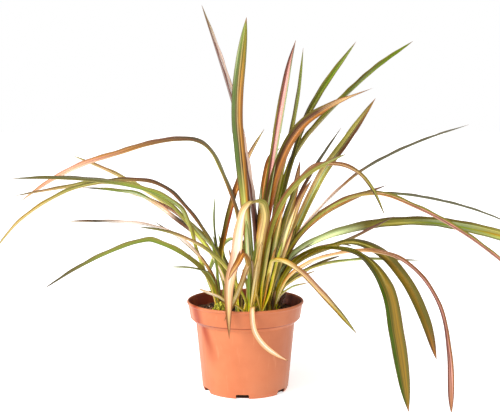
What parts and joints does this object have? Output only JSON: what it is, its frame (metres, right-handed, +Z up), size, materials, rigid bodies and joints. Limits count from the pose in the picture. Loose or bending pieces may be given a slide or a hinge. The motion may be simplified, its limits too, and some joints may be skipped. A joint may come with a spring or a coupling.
{
  "type": "potted new zealand flax",
  "caption": "Young strap-leaved flax: fans of long, folded, arching striped leaves rising from soil in a tapered plastic nursery pot with a banded rim.",
  "frame": {"origin": "on the pot's axis, on the surface that the pot stands on", "axes": "+Z up along the pot's axis, -Y towards the front that the picture shows, +X along the plant's widest spread"},
  "size_m": [0.9004, 0.5119, 0.6292],
  "materials": {
    "terracotta_plastic": "satin, slightly dusty",
    "compost": "matt, moist and crumbly",
    "leaf": "smooth and waxy, striped olive, green, cream, pink and bronze"
  },
  "bodies": {
    "root": {"pot": "terracotta_plastic", "soil": "compost", "fan_left_outer": "leaf", "fan_left": "leaf", "fan_back_left": "leaf", "fan_front": "leaf", "fan_centre": "leaf", "fan_middle": "leaf", "fan_right_front": "leaf", "fan_right": "leaf", "fan_back": "leaf", "fan_rear": "leaf"}
  },
  "joints": []
}
